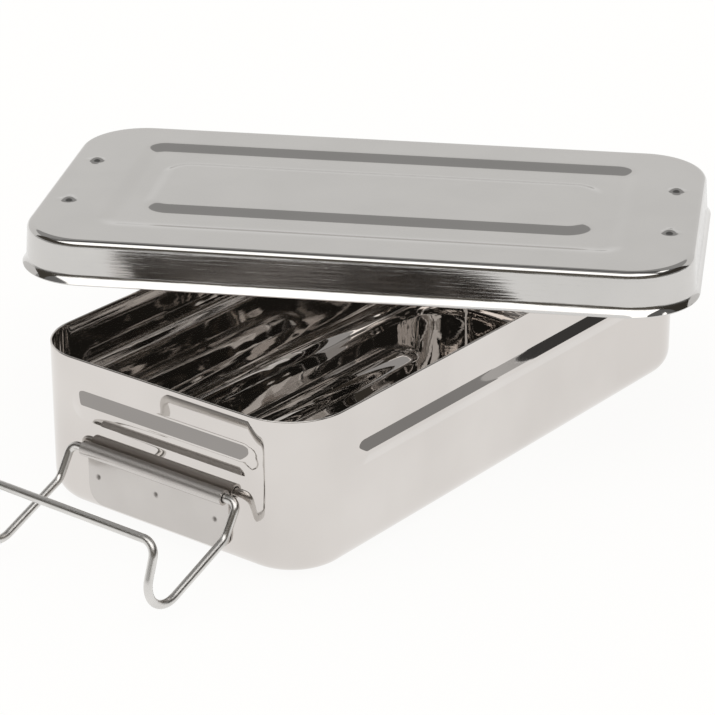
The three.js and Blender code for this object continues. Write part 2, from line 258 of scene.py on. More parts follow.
@dataclass(frozen=True)
class RoundedRing:
    """Columns of a rounded rectangle that stay matched as the rectangle grows or shrinks.

    Attributes:
        side_stops: Stretches of the long sides, as shares from -1 to 1.
        side_counts: Steps in each of these.
        end_stops: Stretches of the short ends, as shares from -1 to 1.
        end_counts: Steps in each of these.
        corner_steps: Steps round each corner.
    """

    side_stops: list[float]
    side_counts: list[int]
    end_stops: list[float]
    end_counts: list[int]
    corner_steps: int

    def columns(self) -> tuple[np.ndarray, np.ndarray, np.ndarray]:
        """Gives each column's shares along X and Y and the angle that its normal points at.

        Returns:
            Three arrays, counter-clockwise from the start of the +X end.
        """
        along_side = graded(self.side_stops, self.side_counts)
        along_end = graded(self.end_stops, self.end_counts)
        bend = np.linspace(0, math.pi / 2, self.corner_steps + 1)[1:-1]
        ones = np.ones_like
        parts = [
            (ones(along_end), along_end, 0 * along_end),
            (ones(bend), ones(bend), bend),
            (-along_side, ones(along_side), 0 * along_side + math.pi / 2),
            (-ones(bend), ones(bend), bend + math.pi / 2),
            (-ones(along_end), -along_end, 0 * along_end + math.pi),
            (-ones(bend), -ones(bend), bend + math.pi),
            (along_side, -ones(along_side), 0 * along_side + 1.5 * math.pi),
            (ones(bend), -ones(bend), bend + 1.5 * math.pi),
        ]
        share_x, share_y, angle = (np.concatenate([part[k] for part in parts]) for k in range(3))
        return share_x, share_y, angle

    def rings(self, half_x: np.ndarray, half_y: np.ndarray, radius: np.ndarray) -> np.ndarray:
        """Points of one rounded rectangle for each row.

        Each point is the corner centre scaled by its shares, plus the radius times the
        direction of its normal.

        Args:
            half_x: Half length of each row.
            half_y: Half width of each row.
            radius: Corner radius of each row.

        Returns:
            Array of rows, columns and X, Y.
        """
        share_x, share_y, angle = self.columns()
        x = share_x * (half_x - radius)[:, None] + np.cos(angle) * radius[:, None]
        y = share_y * (half_y - radius)[:, None] + np.sin(angle) * radius[:, None]
        return np.stack([x, y], axis=-1)

    def normals(self) -> np.ndarray:
        """Outward normal of each column, as an array of columns and X, Y."""
        angle = self.columns()[2]
        return np.stack([np.cos(angle), np.sin(angle)], axis=-1)


def quads(rows: int, columns: int, wrap: bool) -> np.ndarray:
    """Corner numbers of the quads of a grid of points.

    Args:
        rows: Rows of points.
        columns: Columns of points.
        wrap: Whether the last column joins the first.

    Returns:
        Array of quads by four corners.
    """
    index = np.arange(rows * columns).reshape(rows, columns)
    if wrap:
        index = np.concatenate([index, index[:, :1]], axis=1)
    corners = [index[:-1, :-1], index[:-1, 1:], index[1:, 1:], index[1:, :-1]]
    return np.stack(corners, axis=-1).reshape(-1, 4)


def quarter_turn() -> np.ndarray:
    """Angles of a rounded edge, from its start up to one step before its end.

    Returns:
        The angles in radians.
    """
    return np.linspace(0, math.pi / 2, EDGE_STEPS + 1)[:-1]


def lifted(outlines: np.ndarray, level: np.ndarray) -> np.ndarray:
    """Outlines carried to their heights.

    Args:
        outlines: Array of rows, columns and X, Y.
        level: Height of each row, or of each point.

    Returns:
        Array of rows, columns and X, Y, Z.
    """
    if level.ndim == 1:
        level = np.repeat(level[:, None], outlines.shape[1], axis=1)
    return np.concatenate([outlines, level[..., None]], axis=-1)


def enclosed_volume(points: np.ndarray, faces: np.ndarray) -> float:
    """Signed volume inside closed quads: the sum of corner triple products over six.

    Args:
        points: Points by three coordinates.
        faces: Quads by four corner numbers.

    Returns:
        Volume, positive where the faces point outwards.
    """
    a, b, c, d = (points[faces[:, k]] for k in range(4))
    first = np.einsum("ij,ij->i", a, np.cross(b, c)).sum()
    second = np.einsum("ij,ij->i", a, np.cross(c, d)).sum()
    return float(first + second) / 6


def linked(name: str, data: bpy.types.ID) -> bpy.types.Object:
    """Makes an object and links it to the scene.

    Args:
        name: Name of the object.
        data: Its mesh or camera.

    Returns:
        The object.
    """
    made = bpy.data.objects.new(name, data)
    bpy.context.scene.collection.objects.link(made)
    return made


def make_object(
    name: str, points: np.ndarray, faces: np.ndarray, sharp: float, marks: dict[str, np.ndarray]
) -> bpy.types.Object:
    """Puts a closed quad surface into a smooth mesh object at the origin.

    Args:
        name: Name of the object.
        points: Points by three coordinates.
        faces: Quads by four corner numbers.
        sharp: Angle in radians above which an edge stays sharp.
        marks: Values at the points for the finish to read, under their names.

    Returns:
        The linked object.
    """
    if enclosed_volume(points, faces) < 0:
        faces = faces[:, ::-1]
    mesh = bpy.data.meshes.new(name)
    mesh.vertices.add(len(points))
    mesh.vertices.foreach_set("co", points.astype(np.float32).ravel())
    mesh.loops.add(faces.size)
    mesh.loops.foreach_set("vertex_index", faces.astype(np.int32).ravel())
    mesh.polygons.add(len(faces))
    mesh.polygons.foreach_set("loop_start", np.arange(0, faces.size, 4, dtype=np.int32))
    mesh.update(calc_edges=True)
    for label, values in marks.items():
        layer = mesh.attributes.new(label, "FLOAT", "POINT")
        layer.data.foreach_set("value", values.astype(np.float32).ravel())
    joined = bmesh.new()
    joined.from_mesh(mesh)
    bmesh.ops.remove_doubles(joined, verts=joined.verts, dist=MERGE_DISTANCE)
    joined.to_mesh(mesh)
    joined.free()
    mesh.validate()
    mesh.shade_smooth()
    mesh.set_sharp_from_angle(angle=sharp)
    return linked(name, mesh)


def fill_inputs(tree: bpy.types.NodeTree, node: bpy.types.Node, inputs: dict[str | int, object]) -> None:
    """Sets inputs of a node to values, or links them to sockets.

    Args:
        tree: Tree that the node is in.
        node: The node.
        inputs: Value or source socket for each input, under its name or number.
    """
    for label, value in inputs.items():
        if isinstance(value, bpy.types.NodeSocket):
            tree.links.new(value, node.inputs[label])
        else:
            node.inputs[label].default_value = value


def add_node(tree: bpy.types.NodeTree, kind: str, inputs: dict[str | int, object]) -> bpy.types.Node:
    """Adds a node to a tree.

    Args:
        tree: Tree to add to.
        kind: Type of the node.
        inputs: Value or source socket for each input, under its name or number.

    Returns:
        The node.
    """
    node = tree.nodes.new(kind)
    fill_inputs(tree, node, inputs)
    return node


def combined(tree: bpy.types.NodeTree, operation: str, *values: object) -> bpy.types.NodeSocket:
    """Adds a node that works out one number from others.

    Args:
        tree: Tree to add to.
        operation: What the node does.
        *values: Value or source socket for each of its inputs.

    Returns:
        Socket with the result.
    """
    node = tree.nodes.new("ShaderNodeMath")
    node.operation = operation
    fill_inputs(tree, node, dict(enumerate(values)))
    return node.outputs[0]


def blended(
    tree: bpy.types.NodeTree, share: bpy.types.NodeSocket, first: object, second: object
) -> bpy.types.NodeSocket:
    """Adds a node that passes from one colour to another.

    Args:
        tree: Tree to add to.
        share: Socket with the share of the second colour.
        first: Colour, or the socket that gives it.
        second: Colour, or the socket that gives it.

    Returns:
        Socket with the colour.
    """
    node = tree.nodes.new("ShaderNodeMix")
    node.data_type = "RGBA"
    fill_inputs(tree, node, {"Factor": share, "A": first, "B": second})
    return node.outputs["Result"]


def marked(tree: bpy.types.NodeTree, label: str) -> bpy.types.NodeSocket:
    """Adds a node that reads a mark on the points.

    Args:
        tree: Tree to add to.
        label: Name of the mark.

    Returns:
        Socket with the mark's value.
    """
    node = tree.nodes.new("ShaderNodeAttribute")
    node.attribute_name = label
    return node.outputs["Fac"]


@dataclass(frozen=True)
class SteelFinish:
    """Stainless steel as rolled, drawn or polished.

    Attributes:
        name: Name of the material.
        slot: Slot of the record that the finish belongs to; not used.
        colour: Linear colour of the metal.
        tint: Linear colour that the metal drifts to in patches.
        smoothest: Roughness of the best polished patches.
        roughest: Roughness of the dullest patches.
        patch: Size of the patches in metres.
        grain: Wavelength of the polishing lines along X, Y and Z in metres.
        grain_depth: Depth of the lines in metres.
        grain_turn: Turn of the lines about Z in radians.
        streak_depth: Depth of the lines where the piece is marked with streaks.
        streak_dulling: Roughness added there.
        painted_glow: Strength of a painted glow that the piece gives off in place of reflections too deep
            to follow.
    """

    name: str
    slot: str
    colour: tuple[float, float, float]
    tint: tuple[float, float, float]
    smoothest: float
    roughest: float
    patch: float
    grain: tuple[float, float, float]
    grain_depth: float
    grain_turn: float = 0.0
    streak_depth: float = 0.0
    streak_dulling: float = 0.0
    painted_glow: float = 0.0

    def material(self) -> bpy.types.Material:
        """Builds the material from noise in object coordinates and the marks on the points.

        Returns:
            The material, made once and then reused.
        """
        made = bpy.data.materials.get(self.name)
        if made is not None:
            return made
        made = bpy.data.materials.new(self.name)
        made.use_nodes = True
        tree = made.node_tree
        place = tree.nodes.new("ShaderNodeTexCoord").outputs["Object"]
        streak = marked(tree, "streak")
        patches = add_node(
            tree,
            "ShaderNodeTexNoise",
            {"Vector": place, "Scale": 1 / self.patch, "Detail": PATCH_DETAIL},
        ).outputs["Fac"]
        gloss = add_node(tree, "ShaderNodeMapRange", {
            "Value": patches,
            "From Min": GLOSS_SPREAD[0],
            "From Max": GLOSS_SPREAD[1],
            "To Min": self.smoothest,
            "To Max": self.roughest,
        })
        drift = add_node(
            tree,
            "ShaderNodeMapRange",
            {"Value": patches, "From Min": TINT_SPREAD[0], "From Max": TINT_SPREAD[1]},
        )
        metal = blended(tree, drift.outputs["Result"], (*self.colour, 1.0), (*self.tint, 1.0))
        stretched = add_node(tree, "ShaderNodeMapping", {
            "Vector": place,
            "Rotation": (0.0, 0.0, -self.grain_turn),
            "Scale": [1 / length for length in self.grain],
        })
        lines = add_node(
            tree,
            "ShaderNodeTexNoise",
            {"Vector": stretched.outputs["Vector"], "Scale": 1.0, "Detail": LINE_DETAIL},
        ).outputs["Fac"]
        grained = add_node(
            tree, "ShaderNodeBump", {"Distance": self.grain_depth, "Height": lines}
        )
        scratched = add_node(tree, "ShaderNodeBump", {
            "Distance": self.streak_depth,
            "Strength": streak,
            "Height": lines,
            "Normal": grained.outputs["Normal"],
        })
        fill_inputs(tree, tree.nodes["Principled BSDF"], {
            "Metallic": 1.0,
            "Base Color": blended(tree, marked(tree, "stain"), metal, (*STAIN_COLOUR, 1.0)),
            "Roughness": combined(
                tree, "MULTIPLY_ADD", streak, self.streak_dulling, gloss.outputs["Result"]
            ),
            "Normal": scratched.outputs["Normal"],
            # Painted warm glow, standing in for reflections too deep to follow.
            "Emission Color": (*WARM, 1.0),
            "Emission Strength": self.painted_glow,
        })
        return made

    def dress(self, piece: bpy.types.Object) -> None:
        """Puts the finish on a piece.

        Args:
            piece: The piece.
        """
        piece.data.materials.clear()
        piece.data.materials.append(self.material())


TRAY_FINISH = SteelFinish(
    name="tray_steel",
    slot="polished_sheet",
    colour=(0.70, 0.668, 0.643),
    tint=(0.645, 0.613, 0.588),
    smoothest=0.01,
    roughest=0.03,
    patch=0.06,
    grain=(0.08, 0.08, 0.0015),
    grain_depth=0.0000004,
    streak_depth=0.000009,
    # Faint painted glow over the whole tray, in place of reflections too deep to follow.
    painted_glow=0.003,
)

LID_FINISH = SteelFinish(
    name="lid_steel",
    slot="lid_sheet",
    colour=(0.62, 0.607, 0.592),
    tint=(0.60, 0.588, 0.573),
    smoothest=0.035,
    roughest=0.09,
    patch=0.025,
    grain=(0.03, 0.03, 0.0008),
    grain_depth=0.000001,
    grain_turn=LID_TURN,
    streak_depth=0.00010,
    streak_dulling=0.12,
)

BRACKET_FINISH = SteelFinish(
    name="bracket_steel",
    slot="bracket_sheet",
    colour=(0.595, 0.568, 0.547),
    tint=(0.565, 0.539, 0.518),
    smoothest=0.14,
    roughest=0.22,
    patch=0.02,
    grain=(0.002, 0.03, 0.002),
    grain_depth=0.000002,
    streak_dulling=0.24,
)

WIRE_FINISH = SteelFinish(
    name="wire_steel",
    slot="bright_wire",
    colour=(0.73, 0.715, 0.695),
    tint=(0.66, 0.645, 0.625),
    smoothest=0.24,
    roughest=0.36,
    patch=0.012,
    grain=(0.003, 0.003, 0.003),
    grain_depth=0.000004,
)


@dataclass(frozen=True)
class Tray:
    """The drawn tray, with ribs pressed outwards in its walls and beads in its floor.

    Attributes:
        length: Length between the plain faces of the end walls.
        width: Width between the plain faces of the side walls.
        height: Height of the rim.
        corner_radius: Outer radius of the upright corners.
        base_radius: Outer radius between walls and floor.
        rib_proud: Height of the ribs over the wall.
        rib_crest: Rounding of the ribs' crests.
        side_rib: Height above the base, width and length of the side ribs.
        end_rib: Height above the base, width and length of the end ribs.
        end_rib_shift: Distance of the end ribs from the middle, each to its own side.
        bead: Length, width and rise of the floor beads.
        bead_offset: Distance of the floor beads from the middle line.
        foot_blend: Rounding at the foot of ribs and beads.
        floor_waves: The floor's unevenness, along X and Y.
        wall_waves: The inner walls' unevenness, along X, Y and Z.
        calm: Distance below the rim over which it dies away.
    """

    length: float = 234 * MM
    width: float = 120 * MM
    height: float = 56.2 * MM
    corner_radius: float = 21.5 * MM
    base_radius: float = 9 * MM
    rib_proud: float = 1.85 * MM
    rib_crest: float = 0.7 * MM
    side_rib: tuple[float, float, float] = (38 * MM, 9.4 * MM, 179 * MM)
    end_rib: tuple[float, float, float] = (40 * MM, 11.4 * MM, 80 * MM)
    end_rib_shift: float = 1.4 * MM
    bead: tuple[float, float, float] = (120 * MM, 17 * MM, 2.1 * MM)
    bead_offset: float = 31 * MM
    foot_blend: float = 0.15 * MM
    floor_waves: Waves = Waves(0.06 * MM, (50 * MM, 36 * MM), count=14, seed=11)
    wall_waves: Waves = Waves(0.008 * MM, (120 * MM, 120 * MM, 9 * MM), count=16, seed=23)
    calm: float = 4 * MM

    def ring(self) -> RoundedRing:
        """Columns of the tray, closest together where the ribs and the beads end.

        Returns:
            The columns.
        """
        return RoundedRing(
            side_stops=[-1, -0.97, -0.86, -0.8, -0.45, 0.45, 0.8, 0.86, 0.97, 1],
            side_counts=[3, 22, 4, 20, 16, 20, 4, 22, 3],
            end_stops=[-1, -0.8, 0.8, 1],
            end_counts=[18, 26, 18],
            corner_steps=24,
        )

    def rib_height(self, wall: np.ndarray) -> np.ndarray:
        """Height of the wall ribs over the wall.

        Args:
            wall: Points of the walls as rows, columns and X, Y, Z.

        Returns:
            How far each point stands out.
        """
        x, y, z = np.moveaxis(wall, -1, 0)
        side_z, side_width, side_length = self.side_rib
        end_z, end_width, end_length = self.end_rib
        near_side = np.abs(y) > self.width / 2 - self.base_radius
        near_end = np.abs(x) > self.length / 2 - self.base_radius
        side = slot_distance(x, z - side_z, side_length, side_width)
        end = slot_distance(y - np.sign(x) * self.end_rib_shift, z - end_z, end_length, end_width)
        side_height = roofed(side, side_width / 2, self.rib_proud, self.rib_crest, self.foot_blend)
        end_height = roofed(end, end_width / 2, self.rib_proud, self.rib_crest, self.foot_blend)
        return np.where(near_side, side_height, 0) + np.where(near_end, end_height, 0)

    def bead_height(self, floor: np.ndarray) -> np.ndarray:
        """Height of the two floor beads over the floor.

        Args:
            floor: Points of the floor as rows, columns and X, Y.

        Returns:
            How far each point stands up.
        """
        length, width, rise = self.bead
        across = np.abs(floor[..., 1]) - self.bead_offset
        distance = slot_distance(floor[..., 0], across, length, width)
        return pressed(distance, width / 2, rise, 2 * self.foot_blend)

    def skin(self, inset: float, floor_steps: list[int]) -> np.ndarray:
        """One face of the sheet, from the middle of the floor up to just below the rim.

        The floor is a family of rounded rectangles that shrink onto the middle line, the
        base is a quarter circle carried round, and the walls are straight up with the
        ribs added along the normal.

        Args:
            inset: Distance of this face inside the outer one.
            floor_steps: Steps in each stretch of the floor.

        Returns:
            Array of rows, columns and X, Y, Z.
        """
        ring = self.ring()
        half_x = self.length / 2 - inset
        half_y = self.width / 2 - inset
        corner = self.corner_radius - inset
        base = self.base_radius - inset
        share = graded(FLOOR_STOPS, floor_steps)[:-1]
        flat_x = half_x - base - (1 - share) * (half_y - base)
        floor = ring.rings(flat_x, share * (half_y - base), share * (corner - base))
        floor_z = inset + self.bead_height(floor)
        angle = quarter_turn()
        pull = base * (1 - np.sin(angle))
        bend = ring.rings(half_x - pull, half_y - pull, corner - pull)
        bend_z = inset + base * (1 - np.cos(angle))
        rib_low = self.side_rib[0] - self.side_rib[1] / 2 - RIB_MARGIN
        rib_high = self.end_rib[0] + self.end_rib[1] / 2 + RIB_MARGIN
        top = self.height - SHEET / 2
        climb = graded([inset + base, rib_low, rib_high, top], WALL_STEPS)
        flat = np.ones_like(climb)
        wall = lifted(ring.rings(half_x * flat, half_y * flat, corner * flat), climb)
        wall[..., :2] += self.rib_height(wall)[..., None] * ring.normals()
        return np.concatenate([lifted(floor, floor_z), lifted(bend, bend_z), wall])

    def worked(self, face: np.ndarray) -> np.ndarray:
        """Adds the unevenness of polished sheet to the inner face.

        The floor moves up and down by one set of waves, and the walls move in and out by
        another, long along the wall and short up it.

        Args:
            face: The inner face as rows, columns and X, Y, Z.

        Returns:
            The uneven face.
        """
        z = face[..., 2]
        inside = np.clip((z - SHEET) / self.base_radius, 0, 1)
        fade = np.clip((self.height - z) / self.calm, 0, 1)
        floor = self.floor_waves.at(face[..., :2])
        wall = self.wall_waves.at(face)
        moved = face.copy()
        moved[..., 2] += floor * (1 - inside) ** 2
        moved[..., :2] -= (wall * inside * fade)[..., None] * self.ring().normals()
        return moved

    def build(self) -> bpy.types.Object:
        """Builds the tray as one closed sheet, dresses it and puts it in place.

        Returns:
            The tray.
        """
        outer = self.skin(0.0, OUTER_FLOOR_STEPS)
        inner = self.worked(self.skin(SHEET, INNER_FLOOR_STEPS))
        angle = np.linspace(0, math.pi, RIM_STEPS + 1)[1:-1]
        pull = SHEET / 2 * (1 - np.cos(angle))
        lip = self.ring().rings(self.length / 2 - pull, self.width / 2 - pull, self.corner_radius - pull)
        rim = lifted(lip, self.height - SHEET / 2 + SHEET / 2 * np.sin(angle))
        grid = np.concatenate([outer, rim, inner[::-1]])
        lined = np.zeros(grid.shape[:2])
        lined[len(outer) + len(rim):] = 1.0
        faces = quads(*lined.shape, wrap=True)
        tray = make_object("tray_shell", grid.reshape(-1, 3), faces, SHEET_CREASE, {"streak": lined})
        TRAY_FINISH.dress(tray)
        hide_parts("box_body")
        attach(tray, "tray")
        return tray


@dataclass(frozen=True)
class Lid:
    """The loose lid: a channel round its flat top, a round edge, a skirt and a flared lip.

    Attributes:
        half_length: Half of the length below the round edge.
        half_width: Half of the width below the round edge.
        corner_radius: Outer radius of the corners below the round edge.
        height: Height of the flat top over the lip.
        top_radius: Radius of the upper edge.
        draft: How far the skirt widens on its way down, at the ends and the sides.
        lip_proud: How far the lip stands out from the skirt, at the ends and the sides.
        lip_height: Height at which the flare begins, at the ends and the sides.
        lip_edge: Height of the lip's edge.
        channel_rim: Half length, half width and corner radius of the channel's outer edge.
        channel_foot: The same where the outer slope meets the channel's floor.
        island_base: The same where the channel's floor meets the island's slope.
        island_crest: The same round the flat of the island.
        channel_depth: Depth of the channel.
        bump: Radius and rise of the four bumps.
        bump_place: Distance of the bumps from the middle, along and across.
        turn: Turn of the lid about Z as it lies on the tray.
        foot_blend: Rounding at the foot of the bumps.
        waves: The top's unevenness, along and across.
        calm: Width of the strip beside the round edge over which it dies away.
    """

    half_length: float = 119.25 * MM
    half_width: float = 62.85 * MM
    corner_radius: float = 24 * MM
    height: float = 15.75 * MM
    top_radius: float = 2.6 * MM
    draft: tuple[float, float] = (1 * MM, 0.25 * MM)
    lip_proud: tuple[float, float] = (1.2 * MM, 2.33 * MM)
    lip_height: tuple[float, float] = (3.2 * MM, 3.6 * MM)
    lip_edge: float = 0.5 * MM
    channel_rim: tuple[float, float, float] = (95 * MM, 46.5 * MM, 9 * MM)
    channel_foot: tuple[float, float, float] = (88 * MM, 36 * MM, 2 * MM)
    island_base: tuple[float, float, float] = (83.5 * MM, 27.7 * MM, 12 * MM)
    island_crest: tuple[float, float, float] = (77 * MM, 20 * MM, 5 * MM)
    channel_depth: float = 1.3 * MM
    bump: tuple[float, float] = (3.1 * MM, 1.16 * MM)
    bump_place: tuple[float, float] = (109 * MM, 21.5 * MM)
    turn: float = LID_TURN
    foot_blend: float = 0.12 * MM
    waves: Waves = Waves(0.015 * MM, (70 * MM, 50 * MM), count=12, seed=5)
    calm: float = 6 * MM

    def ring(self) -> RoundedRing:
        """Columns of the lid, closest together across the bumps.

        Returns:
            The columns.
        """
        return RoundedRing(
            side_stops=[-1, 1],
            side_counts=[64],
            end_stops=[-1, -0.7, -0.48, 0.48, 0.7, 1],
            end_counts=[6, 16, 14, 16, 6],
            corner_steps=28,
        )

    def terraces(self) -> tuple[np.ndarray, np.ndarray]:
        """Outlines of the top's rows, from the middle line out to the round edge.

        Each stretch passes in shares from one outline to the next, and its height goes
        from one level to the other along half a cosine wave.

        Returns:
            Half length, half width and radius of each row, and its height over the top.
        """
        spine = (self.island_crest[0] - self.island_crest[1], 0.0, 0.0)
        brow = (
            self.half_length - self.top_radius,
            self.half_width - self.top_radius,
            self.corner_radius - self.top_radius,
        )
        outlines = np.array(
            [spine, self.island_crest, self.island_base, self.channel_foot, self.channel_rim, brow]
        )
        levels = np.array([0, 0, -1, -1, 0, 0]) * self.channel_depth
        shares = [graded(stops, counts)[:-1] for stops, counts in TOP_STRETCHES]
        sizes = [
            low + share[:, None] * (high - low)
            for low, high, share in zip(outlines[:-1], outlines[1:], shares)
        ]
        heights = [
            low + (high - low) * (1 - np.cos(share * math.pi)) / 2
            for low, high, share in zip(levels[:-1], levels[1:], shares)
        ]
        return np.concatenate(sizes), np.concatenate(heights)

    def domes(self, top: np.ndarray) -> np.ndarray:
        """Height of the four bumps over the top.

        Args:
            top: Points of the top as rows, columns and X, Y.

        Returns:
            Height at each point.
        """
        radius, rise = self.bump
        away = np.abs(top) - self.bump_place
        return pressed(np.hypot(away[..., 0], away[..., 1]), radius, rise, self.foot_blend)

    def skirt_grow(self, z: np.ndarray) -> np.ndarray:
        """How far the skirt stands out at each height and column.

        The draft grows evenly on the way down, and the lip adds one minus a cosine. Each
        size passes from its value at the ends to the one at the sides with the square of
        the normal's share across the lid.

        Args:
            z: Heights over the lip.

        Returns:
            Array of heights and columns.
        """
        side = self.ring().normals()[:, 1] ** 2
        draft, proud, start = (
            ends + (sides - ends) * side for ends, sides in (self.draft, self.lip_proud, self.lip_height)
        )
        height = np.atleast_1d(z)[:, None]
        slant = draft * (1 - height / (self.height - self.top_radius))
        climb = np.clip((height - self.lip_edge) / (start - self.lip_edge), 0, 1)
        return slant + proud * (1 - np.cos((1 - climb) * math.pi / 2))

    def grown(self, grow: np.ndarray) -> np.ndarray:
        """The lid's outline moved out along its normals.

        Args:
            grow: Distance at each row and column.

        Returns:
            Array of rows, columns and X, Y.
        """
        sizes = (self.half_length, self.half_width, self.corner_radius)
        outline = self.ring().rings(*(np.full(len(grow), size) for size in sizes))
        return outline + grow[..., None] * self.ring().normals()

    def skin(self, inset: float) -> np.ndarray:
        """One face of the lid's sheet, from the middle of the top down to the lip.

        The top is a family of rounded rectangles that shrink onto the middle line. The
        edge is a quarter circle, and the skirt follows skirt_grow.

        Args:
            inset: Distance of this face inside the outer one.

        Returns:
            Array of rows, columns and X, Y, Z in the lid's own frame.
        """
        ring = self.ring()
        edge = self.top_radius - inset
        top = self.height - inset
        sizes, levels = self.terraces()
        flat = ring.rings(*sizes.T)
        brow = self.half_length - self.top_radius
        calm = np.minimum(1, (brow - sizes[:, 0]) / self.calm)[:, None]
        flat_z = top + levels[:, None] + self.domes(flat) + self.waves.at(flat) * calm
        angle = quarter_turn()
        flare = max(self.lip_height)
        drop = graded([self.lip_edge, flare, self.height - self.top_radius], SKIRT_STEPS)[::-1]
        brow_grow = np.repeat(-edge * (1 - np.sin(angle))[:, None], flat.shape[1], axis=1)
        side = self.grown(np.concatenate([brow_grow, self.skirt_grow(drop)]) - inset)
        fall = np.concatenate([top - edge * (1 - np.cos(angle)), drop])
        return np.concatenate([lifted(flat, flat_z), lifted(side, fall)])

    def lip(self) -> np.ndarray:
        """Rounded edge of the lip: half an ellipse from the outer face to the inner one.

        Returns:
            Array of rows, columns and X, Y, Z in the lid's own frame.
        """
        angle = np.linspace(0, math.pi, LIP_STEPS + 1)[1:-1]
        pull = SHEET / 2 * (1 - np.cos(angle))
        edge = self.grown(self.skirt_grow(np.array(self.lip_edge)) - pull[:, None])
        return lifted(edge, self.lip_edge * (1 - np.sin(angle)))

    def build(self) -> bpy.types.Object:
        """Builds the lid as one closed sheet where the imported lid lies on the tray.

        Returns:
            The lid.
        """
        outer = self.skin(0.0)
        grid = np.concatenate([outer, self.lip(), self.skin(SHEET)[::-1]])
        skirt = outer[..., 2].max(axis=1) < self.height - self.top_radius / 2
        above_flare = outer[..., 2] > STREAK_START * max(self.lip_height)
        lined = np.zeros(grid.shape[:2])
        lined[:len(outer)] = skirt[:, None] & above_flare
        low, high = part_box("lid")
        middle = (low + high) / 2
        turn = np.array(Matrix.Rotation(self.turn, 3, "Z"))
        points = grid.reshape(-1, 3) @ turn.T + np.array([middle.x, middle.y, low.z])
        faces = quads(*lined.shape, wrap=True)
        lid = make_object("lid_shell", points, faces, SHEET_CREASE, {"streak": lined})
        LID_FINISH.dress(lid)
        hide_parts("lid")
        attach(lid, "lid")
        return lid


def fitting_place(end: BoxEnd) -> Matrix:
    """Frame of one end's fittings: X out of the box, Y along the hinge, Z up.

    Args:
        end: Which end of the box.

    Returns:
        Matrix with its origin on the hinge axis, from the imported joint.
    """
    joint = next(j for j in frame["joints"] if j["name"] == f"{end.label}_handle_swing")
    return Matrix.Translation(Vector(joint["pos_m"])) @ Matrix.Rotation(end.facing, 4, "Z")


def placed(points: np.ndarray, matrix: Matrix) -> np.ndarray:
    """Points carried by a matrix.

    Args:
        points: Array whose last axis is X, Y, Z.
        matrix: Four by four matrix.

    Returns:
        The carried points in the same shape.
    """
    array = np.array(matrix)
    return points @ array[:3, :3].T + array[:3, 3]


